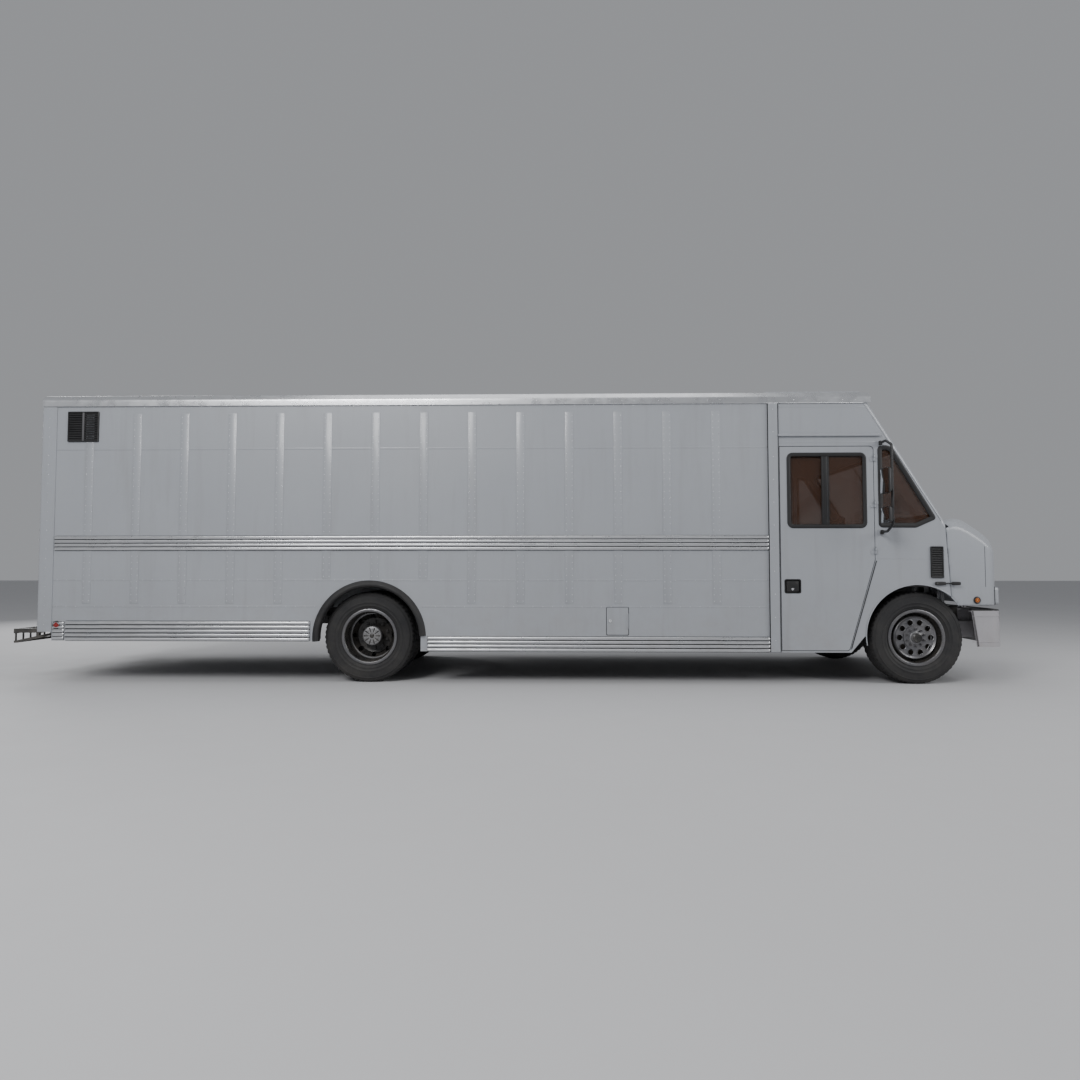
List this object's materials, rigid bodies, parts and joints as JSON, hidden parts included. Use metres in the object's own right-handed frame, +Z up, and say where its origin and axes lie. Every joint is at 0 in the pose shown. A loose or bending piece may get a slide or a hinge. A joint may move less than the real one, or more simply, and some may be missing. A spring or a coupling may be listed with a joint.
{
  "type": "mail delivery truck",
  "caption": "Long walk-in delivery truck with ribbed side rails, sliding-pane cab doors, a tilting hood, dual rear wheels and rear swing doors.",
  "frame": {"origin": "centre of the bounding box at ground level", "axes": "+X towards the front of the truck, +Y to the driver's left, +Z up"},
  "size_m": [9.725, 3.072, 2.8619],
  "materials": {
    "body_paint": "gloss cool light grey",
    "roof_white": "satin white",
    "aluminium": "extruded, lightly polished",
    "galvanised_steel": "galvanised",
    "interior_grey": "textured floor paint",
    "chassis_black": "semi-gloss chassis black",
    "dark_steel": "oiled steel",
    "cast_iron": "as cast",
    "bumper_steel": "bright silver",
    "wheel_steel": "machined silver",
    "wheel_black": "gloss black",
    "tyre": "matte",
    "black_rubber": "matte",
    "black_plastic": "grained",
    "clear_lens": "clear polycarbonate",
    "red_lens": "moulded lens",
    "tinted_glass": "bronze tint",
    "seat_vinyl": "grained vinyl"
  },
  "bodies": {
    "root": {"chassis_frame": "chassis_black", "cargo_floor": "galvanised_steel", "side_panels": "body_paint", "wall_posts_and_roof_bows": "galvanised_steel", "roof_panel": "roof_white", "roof_rails": "aluminium", "rear_portal": "body_paint", "rear_hinges": "dark_steel", "rub_rails": "aluminium", "wheel_flares": "black_rubber", "cab_shell": "body_paint", "cab_glass": "tinted_glass", "cab_floor": "interior_grey", "dashboard": "black_plastic", "front_bumper": "bumper_steel", "rear_step_bumper": "chassis_black", "louvre_vents": "black_plastic", "lamps": "red_lens", "bulkhead": "galvanised_steel", "engine_and_gearbox": "cast_iron", "radiator_and_fan": "aluminium", "fuel_tank": "dark_steel", "exhaust": "dark_steel", "front_axle_and_springs": "chassis_black", "rear_axle_and_springs": "chassis_black"},
    "hood": {"hood": "body_paint", "grille": "black_plastic", "headlamps": "clear_lens"},
    "hood_latch_right": {"hood_latch_right": "black_rubber"},
    "hood_latch_left": {"hood_latch_left": "black_rubber"},
    "knuckle_right": {"knuckle_right": "cast_iron"},
    "knuckle_left": {"knuckle_left": "cast_iron"},
    "front_wheel_right": {"front_wheel_right": "wheel_steel", "front_tyre_right": "tyre"},
    "front_wheel_left": {"front_wheel_left": "wheel_steel", "front_tyre_left": "tyre"},
    "rear_wheels_right": {"rear_wheels_right": "wheel_black", "rear_tyres_right": "tyre"},
    "rear_wheels_left": {"rear_wheels_left": "wheel_black", "rear_tyres_left": "tyre"},
    "driveshaft": {"driveshaft": "dark_steel"},
    "door_right": {"door_right": "body_paint"},
    "door_left": {"door_left": "body_paint"},
    "door_slider_right": {"door_slider_right": "tinted_glass"},
    "door_slider_left": {"door_slider_left": "tinted_glass"},
    "door_handle_right": {"door_handle_right": "black_plastic"},
    "door_handle_left": {"door_handle_left": "black_plastic"},
    "rear_door_right": {"rear_door_right": "body_paint"},
    "rear_door_left": {"rear_door_left": "body_paint"},
    "rear_lock_bar": {"rear_lock_bar": "dark_steel"},
    "fuel_door": {"fuel_door": "body_paint"},
    "wiper_right": {"wiper_right": "black_plastic"},
    "wiper_left": {"wiper_left": "black_plastic"},
    "steering_wheel": {"steering_wheel": "black_plastic"},
    "brake_pedal": {"brake_pedal": "black_rubber"},
    "accelerator_pedal": {"accelerator_pedal": "black_rubber"},
    "driver_seat": {"driver_seat": "seat_vinyl"},
    "mirror_right": {"mirror_right": "black_plastic"},
    "mirror_left": {"mirror_left": "black_plastic"},
    "bulkhead_door": {"bulkhead_door": "galvanised_steel"}
  },
  "joints": [
    {"name": "hood_tilt", "type": "hinge", "parent": "root", "child": "hood", "pos_m": [4.7925, 0, 0.735], "axis": [0, 1, 0], "range_deg": [0, 50]},
    {"name": "hood_latch_right_swing", "type": "hinge", "parent": "root", "child": "hood_latch_right", "pos_m": [4.0905, -1.194, 0.963], "axis": [0, 0, -1], "range_deg": [0, 100]},
    {"name": "hood_latch_left_swing", "type": "hinge", "parent": "root", "child": "hood_latch_left", "pos_m": [4.0905, 1.194, 0.963], "axis": [0, 0, 1], "range_deg": [0, 100]},
    {"name": "front_right_steer", "type": "hinge", "parent": "root", "child": "knuckle_right", "pos_m": [3.9455, -0.85, 0.44], "axis": [0, 0, 1], "range_deg": [-36, 36]},
    {"name": "front_left_steer", "type": "hinge", "parent": "root", "child": "knuckle_left", "pos_m": [3.9455, 0.85, 0.44], "axis": [0, 0, 1], "range_deg": [-36, 36]},
    {"name": "steering_wheel_turn", "type": "hinge", "parent": "root", "child": "steering_wheel", "pos_m": [3.7325, 0.57, 1.6], "axis": [-0.5, 0, 0.866], "range_deg": [-512, 512]},
    {"name": "front_right_spin", "type": "hinge", "parent": "knuckle_right", "child": "front_wheel_right", "pos_m": [3.9455, -0.99, 0.44], "axis": [0, 1, 0], "continuous": true},
    {"name": "front_left_spin", "type": "hinge", "parent": "knuckle_left", "child": "front_wheel_left", "pos_m": [3.9455, 0.99, 0.44], "axis": [0, 1, 0], "continuous": true},
    {"name": "rear_right_spin", "type": "hinge", "parent": "root", "child": "rear_wheels_right", "pos_m": [-1.3375, -0.84, 0.44], "axis": [0, 1, 0], "continuous": true},
    {"name": "rear_left_spin", "type": "hinge", "parent": "root", "child": "rear_wheels_left", "pos_m": [-1.3375, 0.84, 0.44], "axis": [0, 1, 0], "continuous": true},
    {"name": "driveshaft_spin", "type": "hinge", "parent": "root", "child": "driveshaft", "pos_m": [-1.0935, 0, 0.46], "axis": [0.9993, 0, 0.0372], "continuous": true},
    {"name": "door_right_open", "type": "hinge", "parent": "root", "child": "door_right", "pos_m": [3.5365, -1.19, 1.26], "axis": [0, 0, 1], "range_deg": [0, 70]},
    {"name": "door_left_open", "type": "hinge", "parent": "root", "child": "door_left", "pos_m": [3.5365, 1.19, 1.26], "axis": [0, 0, -1], "range_deg": [0, 70]},
    {"name": "door_slider_right_slide", "type": "slide", "parent": "door_right", "child": "door_slider_right", "axis": [1, 0, 0], "range_m": [0, 0.33]},
    {"name": "door_slider_left_slide", "type": "slide", "parent": "door_left", "child": "door_slider_left", "axis": [1, 0, 0], "range_m": [0, 0.33]},
    {"name": "door_handle_right_pull", "type": "hinge", "parent": "door_right", "child": "door_handle_right", "pos_m": [2.7455, -1.171, 0.982], "axis": [-1, 0, 0], "range_deg": [0, 35]},
    {"name": "door_handle_left_pull", "type": "hinge", "parent": "door_left", "child": "door_handle_left", "pos_m": [2.7455, 1.171, 0.982], "axis": [1, 0, 0], "range_deg": [0, 35]},
    {"name": "rear_door_right_open", "type": "hinge", "parent": "root", "child": "rear_door_right", "pos_m": [-4.6075, -1.1, 1.7], "axis": [0, 0, 1], "range_deg": [0, 180]},
    {"name": "rear_door_left_open", "type": "hinge", "parent": "root", "child": "rear_door_left", "pos_m": [-4.6075, 1.1, 1.7], "axis": [0, 0, -1], "range_deg": [0, 180]},
    {"name": "rear_lock_bar_turn", "type": "hinge", "parent": "rear_door_right", "child": "rear_lock_bar", "pos_m": [-4.6435, -0.09, 1.4], "axis": [0, 0, -1], "range_deg": [0, 90]},
    {"name": "fuel_door_open", "type": "hinge", "parent": "root", "child": "fuel_door", "pos_m": [1.1755, -1.184, 0.6], "axis": [0, 0, 1], "range_deg": [0, 110]},
    {"name": "wiper_right_sweep", "type": "hinge", "parent": "root", "child": "wiper_right", "pos_m": [4.22031, -0.88, 1.592], "axis": [0.8512, 0, 0.5248], "range_deg": [0, 82]},
    {"name": "wiper_left_sweep", "type": "hinge", "parent": "root", "child": "wiper_left", "pos_m": [4.22031, 0.88, 1.592], "axis": [-0.8512, 0, -0.5248], "range_deg": [0, 82]},
    {"name": "brake_pedal_press", "type": "hinge", "parent": "root", "child": "brake_pedal", "pos_m": [3.7525, 0.48, 1.26], "axis": [0, -1, 0], "range_deg": [0, 16]},
    {"name": "accelerator_pedal_press", "type": "hinge", "parent": "root", "child": "accelerator_pedal", "pos_m": [3.7525, 0.4, 1.26], "axis": [0, -1, 0], "range_deg": [0, 16]},
    {"name": "driver_seat_slide", "type": "slide", "parent": "root", "child": "driver_seat", "axis": [1, 0, 0], "range_m": [-0.08, 0.1]},
    {"name": "mirror_right_fold", "type": "hinge", "parent": "root", "child": "mirror_right", "pos_m": [3.5885, -1.208, 1.88], "axis": [0, 0, 1], "range_deg": [0, 45]},
    {"name": "mirror_left_fold", "type": "hinge", "parent": "root", "child": "mirror_left", "pos_m": [3.5885, 1.208, 1.88], "axis": [0, 0, -1], "range_deg": [0, 45]},
    {"name": "bulkhead_door_slide", "type": "slide", "parent": "root", "child": "bulkhead_door", "axis": [0, -1, 0], "range_m": [0, 0.7]}
  ],
  "couplings": [
    {"joint": "front_left_steer", "follows": "front_right_steer", "ratio": 1},
    {"joint": "steering_wheel_turn", "follows": "front_right_steer", "ratio": 14},
    {"joint": "rear_left_spin", "follows": "rear_right_spin", "ratio": 1},
    {"joint": "driveshaft_spin", "follows": "rear_right_spin", "ratio": 4.1},
    {"joint": "wiper_left_sweep", "follows": "wiper_right_sweep", "ratio": 1}
  ]
}
